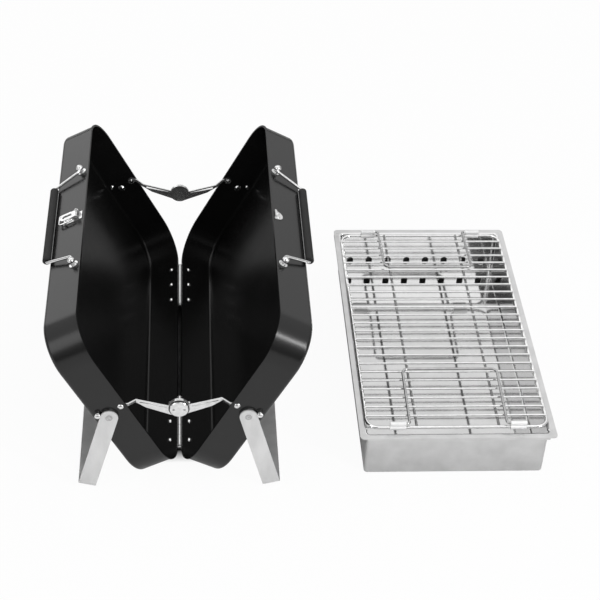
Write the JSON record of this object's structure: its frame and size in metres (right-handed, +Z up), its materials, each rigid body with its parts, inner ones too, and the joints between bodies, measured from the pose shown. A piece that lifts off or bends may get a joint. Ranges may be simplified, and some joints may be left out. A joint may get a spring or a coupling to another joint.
{
  "type": "folding camp grill",
  "caption": "Suitcase-style folding charcoal grill: black pan halves hinged to open as a V on fold-out strap legs, with a loose steel charcoal tray and a chrome wire grate with lifting bails.",
  "frame": {"origin": "middle of the whole set on the ground: halfway between the resting left grip and the tray's right rim, and halfway along the case", "axes": "+X from the case towards the tray, +Y along the hinge away from the viewer, +Z up"},
  "size_m": [0.5744, 0.4416, 0.2254],
  "materials": {
    "case_enamel": "satin black powder coat",
    "leg_steel": "satin strap",
    "tray_steel": "satin outside, bright inside",
    "hinge_steel": "zinc plated",
    "plated_sheet": "bright plated",
    "wire_chrome": "chrome plated wire",
    "fasteners": "bright plated",
    "grip": "matte black"
  },
  "bodies": {
    "left_half": {"left_shell": "case_enamel", "left_hinge_leaves": "hinge_steel", "hinge_pins": "hinge_steel", "left_hinge_screws": "fasteners", "left_leg_bolts": "fasteners", "left_leg_washers": "fasteners", "left_stop_pins": "fasteners", "left_leg_nuts": "fasteners", "left_stay_rivets": "fasteners", "left_handle_posts": "fasteners", "left_handle_nuts": "fasteners", "latch_base": "plated_sheet", "latch_rivets": "plated_sheet", "latch_pin": "plated_sheet"},
    "right_half": {"right_shell": "case_enamel", "right_hinge_leaves": "hinge_steel", "right_hinge_screws": "fasteners", "right_leg_bolts": "fasteners", "right_leg_washers": "fasteners", "right_stop_pins": "fasteners", "right_leg_nuts": "fasteners", "right_stay_rivets": "fasteners", "right_handle_posts": "fasteners", "right_handle_nuts": "fasteners", "strike_plate": "plated_sheet", "strike_rivets": "fasteners"},
    "left_leg": {"left_leg": "leg_steel"},
    "right_leg": {"right_leg": "leg_steel"},
    "left_handle": {"left_handle_wire": "wire_chrome", "left_handle_grip": "grip"},
    "right_handle": {"right_handle_wire": "wire_chrome", "right_handle_grip": "grip"},
    "latch_lever": {"latch_lever": "plated_sheet"},
    "latch_loop": {"latch_loop": "plated_sheet"},
    "near_stay_left": {"near_stay_left_arm": "plated_sheet", "near_stay_disc": "plated_sheet", "near_stay_washer": "grip"},
    "near_stay_right": {"near_stay_right_arm": "plated_sheet"},
    "far_stay_left": {"far_stay_left_arm": "plated_sheet", "far_stay_disc": "plated_sheet", "far_stay_washer": "grip"},
    "far_stay_right": {"far_stay_right_arm": "plated_sheet"},
    "tray": {"charcoal_tray": "tray_steel"},
    "grate": {"grate_border": "wire_chrome", "grate_cross_wires": "wire_chrome", "grate_supports": "wire_chrome", "near_bail_clips": "wire_chrome", "far_bail_clips": "wire_chrome"},
    "near_bail": {"near_bail": "wire_chrome"},
    "far_bail": {"far_bail": "wire_chrome"}
  },
  "joints": [
    {"name": "case_fold", "type": "hinge", "parent": "left_half", "child": "right_half", "pos_m": [-0.13579, 0, 0.01421], "axis": [0, -1, 0], "range_deg": [0, 55]},
    {"name": "left_leg_fold", "type": "hinge", "parent": "left_half", "child": "left_leg", "pos_m": [-0.21096, 0, 0.10597], "axis": [0, -1, 0], "range_deg": [0, 27]},
    {"name": "right_leg_fold", "type": "hinge", "parent": "right_half", "child": "right_leg", "pos_m": [-0.06063, 0, 0.10597], "axis": [0, 1, 0], "range_deg": [0, 27]},
    {"name": "left_handle_swing", "type": "hinge", "parent": "left_half", "child": "left_handle", "pos_m": [-0.2534, 0, 0.22108], "axis": [0, 1, 0], "range_deg": [0, 90]},
    {"name": "right_handle_swing", "type": "hinge", "parent": "right_half", "child": "right_handle", "pos_m": [-0.01818, 0, 0.22108], "axis": [0, -1, 0], "range_deg": [0, 90]},
    {"name": "latch_lever_lift", "type": "hinge", "parent": "left_half", "child": "latch_lever", "pos_m": [-0.25283, 0, 0.21889], "axis": [0, 1, 0], "range_deg": [0, 60]},
    {"name": "latch_loop_swing", "type": "hinge", "parent": "latch_lever", "child": "latch_loop", "pos_m": [-0.25761, 0, 0.21618], "axis": [0, 1, 0], "range_deg": [0, 100]},
    {"name": "tray_lift", "type": "slide", "parent": "left_half", "child": "tray", "axis": [0, 0, 1], "range_m": [0, 0.2]},
    {"name": "grate_lift", "type": "slide", "parent": "tray", "child": "grate", "axis": [0, 0, 1], "range_m": [0, 0.15]},
    {"name": "near_bail_swing", "type": "hinge", "parent": "grate", "child": "near_bail", "pos_m": [0.17621, -0.1931, 0.07], "axis": [1, 0, 0], "range_deg": [0, 85]},
    {"name": "far_bail_swing", "type": "hinge", "parent": "grate", "child": "far_bail", "pos_m": [0.17621, 0.1671, 0.07], "axis": [-1, 0, 0], "range_deg": [0, 85]},
    {"name": "near_stay_left_fold", "type": "hinge", "parent": "left_half", "child": "near_stay_left", "pos_m": [-0.19842, -0.2138, 0.1187], "axis": [0, 1, 0], "range_deg": [0, 45.13]},
    {"name": "near_stay_right_fold", "type": "hinge", "parent": "right_half", "child": "near_stay_right", "pos_m": [-0.07317, -0.2138, 0.1187], "axis": [0, -1, 0], "range_deg": [0, 45.13]},
    {"name": "far_stay_left_fold", "type": "hinge", "parent": "left_half", "child": "far_stay_left", "pos_m": [-0.19842, 0.2138, 0.1187], "axis": [0, 1, 0], "range_deg": [0, 45.13]},
    {"name": "far_stay_right_fold", "type": "hinge", "parent": "right_half", "child": "far_stay_right", "pos_m": [-0.07317, 0.2138, 0.1187], "axis": [0, -1, 0], "range_deg": [0, 45.13]}
  ],
  "couplings": [
    {"joint": "near_stay_left_fold", "follows": "case_fold", "ratio": 0.8169},
    {"joint": "near_stay_right_fold", "follows": "case_fold", "ratio": 0.8169},
    {"joint": "far_stay_left_fold", "follows": "case_fold", "ratio": 0.8169},
    {"joint": "far_stay_right_fold", "follows": "case_fold", "ratio": 0.8169}
  ]
}
